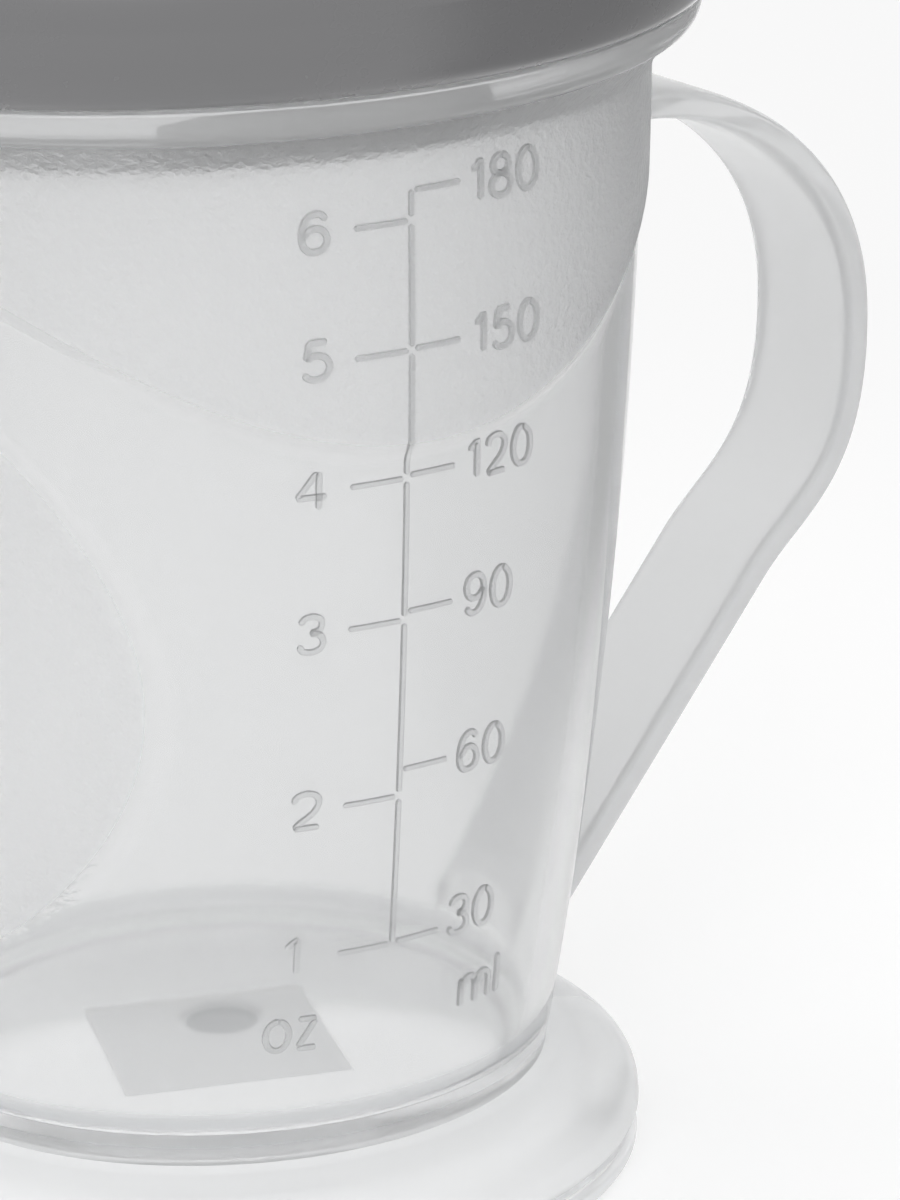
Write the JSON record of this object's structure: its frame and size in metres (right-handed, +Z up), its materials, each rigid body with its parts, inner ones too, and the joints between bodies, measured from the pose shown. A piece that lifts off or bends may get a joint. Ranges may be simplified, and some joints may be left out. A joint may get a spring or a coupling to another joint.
{
  "type": "training cup",
  "caption": "One-handled training cup with a hollow flared foot, a graduated wall and a screw lid whose spout folds down into a bay.",
  "frame": {"origin": "middle of the bounding box's underside, on the plane that the foot rests on; the cup's upright axis is 8.725 mm towards -X from it", "axes": "+Z up along the cup's axis; +X towards the handle; -Y towards the graduated scale and the spout"},
  "size_m": [0.0958, 0.0784, 0.1256],
  "materials": {
    "clear_plastic": "translucent, glossy below and finely frosted above the wavy line",
    "grey_plastic": "opaque gloss",
    "soft_seal": "milky silicone"
  },
  "bodies": {
    "cup": {"cup_body": "clear_plastic"},
    "ring": {"sealing_ring": "soft_seal"},
    "lid": {"lid_shell": "grey_plastic", "outlet_seal": "soft_seal"},
    "spout": {"flip_spout": "grey_plastic"}
  },
  "joints": [
    {"name": "lid_rise", "type": "slide", "parent": "cup", "child": "ring", "axis": [0, 0, 1], "range_m": [0, 0.0048]},
    {"name": "lid_turn", "type": "hinge", "parent": "ring", "child": "lid", "pos_m": [-0.00873, 0, 0.093], "axis": [0, 0, 1], "range_deg": [0, 432]},
    {"name": "spout_flip", "type": "hinge", "parent": "lid", "child": "spout", "pos_m": [-0.00873, -0.0185, 0.1012], "axis": [-1, 0, 0], "range_deg": [0, 102]}
  ],
  "couplings": [
    {"joint": "lid_turn", "follows": "lid_rise", "rad_per_m": 1570.8}
  ]
}
